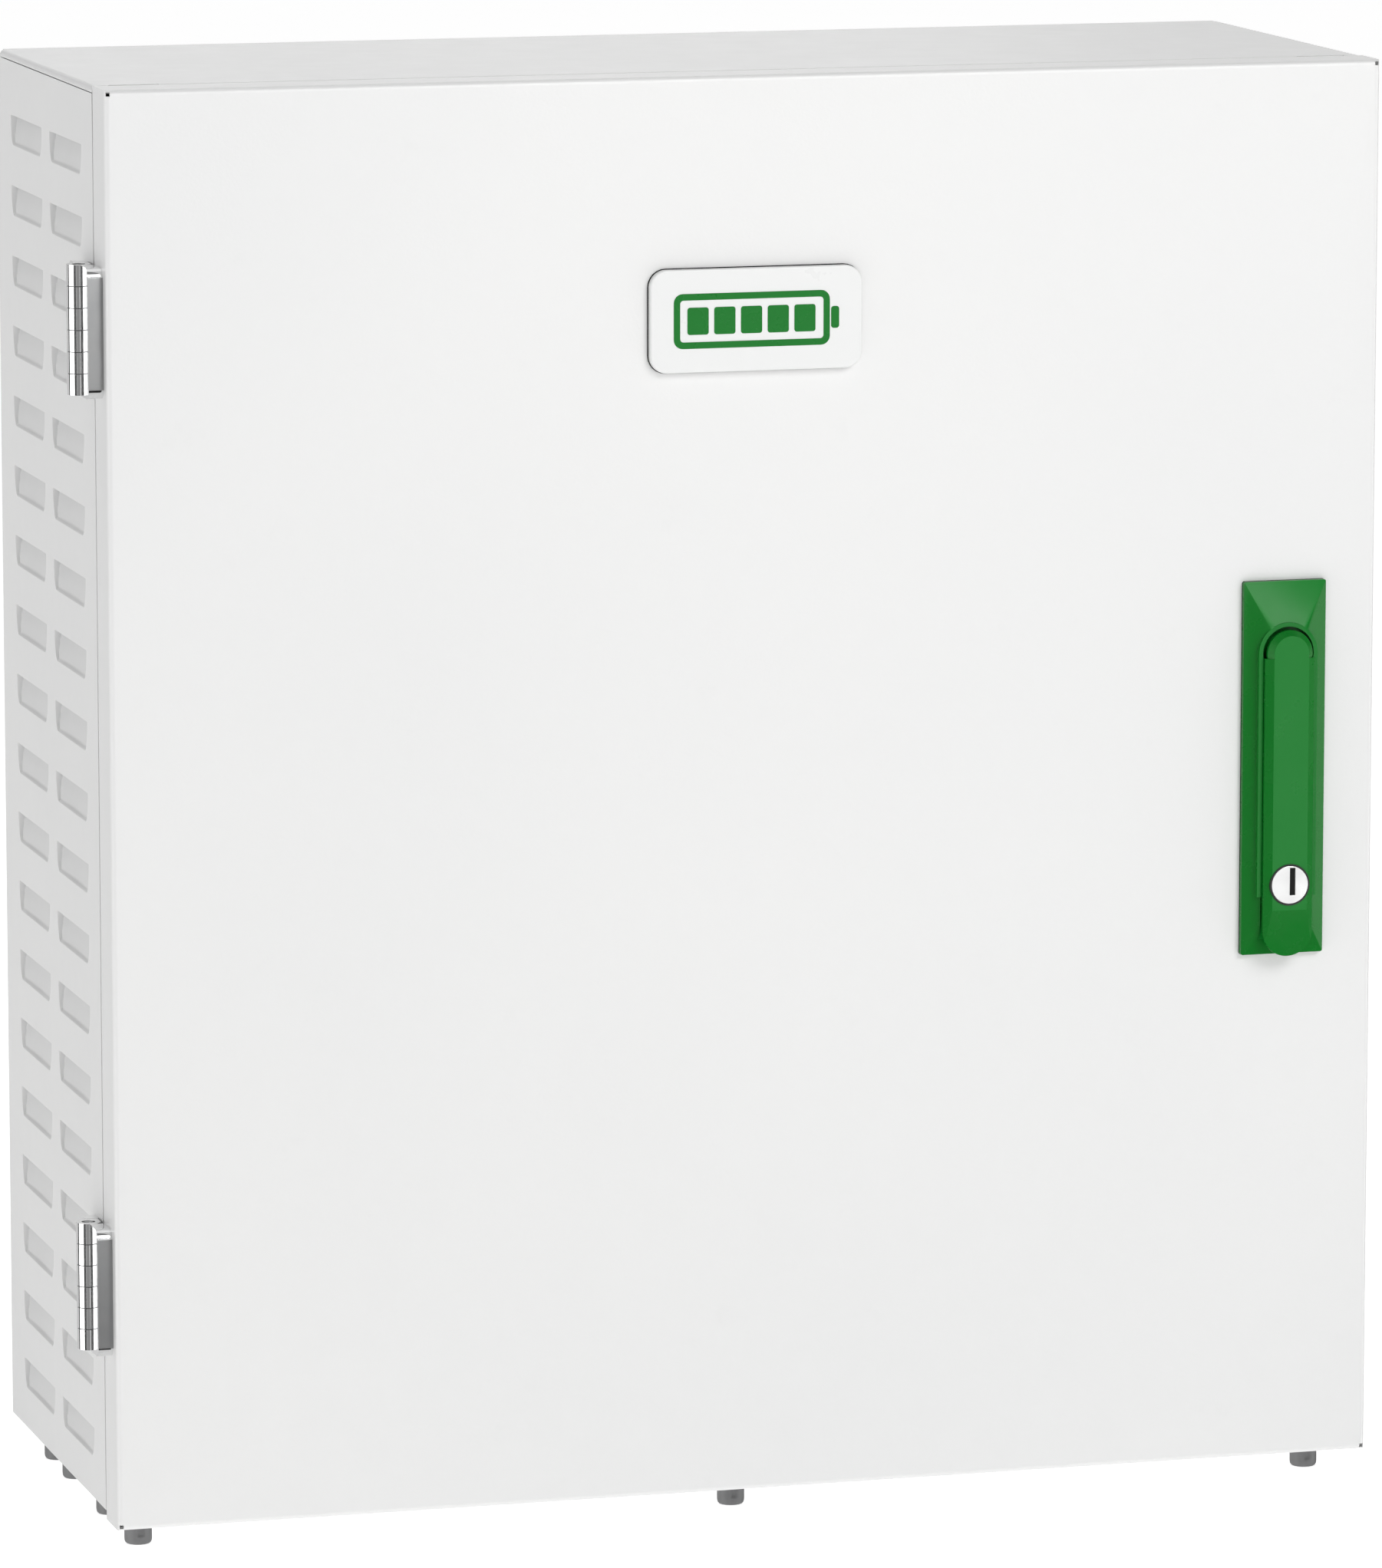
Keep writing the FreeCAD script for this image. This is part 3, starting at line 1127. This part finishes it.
def lock_rod(name, sign):
    """A flat rod with a pointed end, an offset arm beside the spindle and a cross slot for the cam's pin."""
    y = ("rod_front", "rod_back")
    far = "rod_top" if sign > 0 else "rod_bottom"
    start = f"axis_z + {sign} * arm_start"
    bend = f"axis_z + {sign} * arm_reach"
    shoulder = f"{far} - {sign} * rod_point"
    body = new_body(f"{name}_bar")
    sketch = new_sketch(body, "XZ_Plane", "-rod_back")
    outline(sketch, [
        ("handle_x - rod_half", start), ("handle_x - rod_half", shoulder), ("handle_x - rod_tip", far),
        ("handle_x + rod_tip", far), ("handle_x + rod_half", shoulder), ("handle_x + rod_half", start),
    ])
    pad(body, sketch, "rod_back - rod_front")
    slot_half = "crank_pin + slot_slack"
    slot_z = f"axis_z + {sign} * crank"
    arm_x = low_first(sign, f"handle_x + {sign} * arm_in", f"handle_x + {sign} * arm_out")
    arm_z = low_first(sign, f"{slot_z} - {sign} * ({slot_half} + slot_web)", bend)
    arm = block(f"{name}_arm", arm_x, y, arm_z)
    left, right = low_first(sign, f"handle_x + {sign} * crank", f"handle_x + {sign} * (crank + slot_run)")
    slot = [
        block(f"{name}_slot", (left, right), y, about(slot_z, slot_half)),
        cylinder(f"{name}_slot_left", "y", (left, slot_z), y, slot_half),
        cylinder(f"{name}_slot_right", "y", (right, slot_z), y, slot_half),
    ]
    return cut(name, fuse(f"{name}_blank", [body, arm]), slot)


def rod_guides():
    """A folded guide round each rod, standing on the inside of the door."""
    made = []
    for middle in ("guide_lower", "guide_upper"):
        outer_x = about("handle_x", "rod_half + guide_gap + guide_wall")
        z = about(middle, "guide_half")
        bridge = block(f"bridge_{middle}", outer_x, (DOOR_SKIN, "rod_back + guide_gap + guide_wall"), z)
        window = block(f"window_{middle}", about("handle_x", "rod_half + guide_gap"),
                       ("rod_front - guide_gap", "rod_back + guide_gap"), z)
        hollow = block(f"hollow_{middle}", about("handle_x", "rod_half + guide_gap"),
                       (DOOR_SKIN, "rod_front - guide_gap - guide_wall"), z)
        made.append(cut(f"guide_of_{middle}", bridge, [window, hollow]))
    return group("rod_guides", made)


# ---- Build ------------------------------------------------------------------------------------------------


def build():
    """Every sub-part by the name of its node and file."""
    made = [
        back_panel(), top_panel(), bottom_panel(), side_panel("left_panel", -1, []), right_panel(),
        front_frame(), front_uprights(),
        group("feet", [foot(f"foot_{i}", spot) for i, spot in enumerate(FOOT_SPOTS)]), hex_nuts(),
        entry_gasket(), entry_plate(), grommets(), earth_stud(),
        shelf_rails(), group("battery_shelves", [shelf(f"shelf_of_{tier}", tier) for tier in TIERS]),
        retaining_bars(),
    ]
    for row, tier in enumerate(TIERS):
        for i in range(int(size("battery_count"))):
            made.append(battery(f"battery_{row * int(size('battery_count')) + i + 1:02d}", i, tier))
    made += [
        battery_terminals(), battery_links(), mounting_plate(), plate_standoffs(), breaker_base(),
        breaker_cover(), breaker_toggle(), busbars(), insulator_posts(), din_rail(), terminal_blocks(),
        earth_bar(), door_panel(), gasket_carrier(), door_gasket(), door_stiffeners(),
        badge(), hinge_leaves("hinge_door_leaves", -1, 0), hinge_leaves("hinge_body_leaves", 1, 1),
        hinge_pins(), handle_plate(), handle_clamp(), handle_rotor(), rotor_clip(), handle_lever(),
        lever_pin(), lock_sleeve(), lock_plug(), drive_cam(), lock_rod("upper_lock_rod", 1),
        lock_rod("lower_lock_rod", -1), rod_guides(), screws("cabinet"), screws("door"),
    ]
    return made


def write(parts):
    os.makedirs("parts", exist_ok=True)
    for thing in parts:
        thing.Shape.exportStep(f"parts/{thing.Label}.step")


def check(parts):
    DOC.recompute()
    broken = [thing.Name for thing in DOC.Objects if {"Invalid", "Error"} & set(thing.State)]
    broken += [thing.Name for thing in parts if thing.Shape.isNull() or not thing.Shape.isValid()]
    if broken:
        raise ValueError(f"these did not build: {broken}")


fill_sheet()
PARTS = build()
check(PARTS)
write(PARTS)
print(f"{len(PARTS)} parts written")
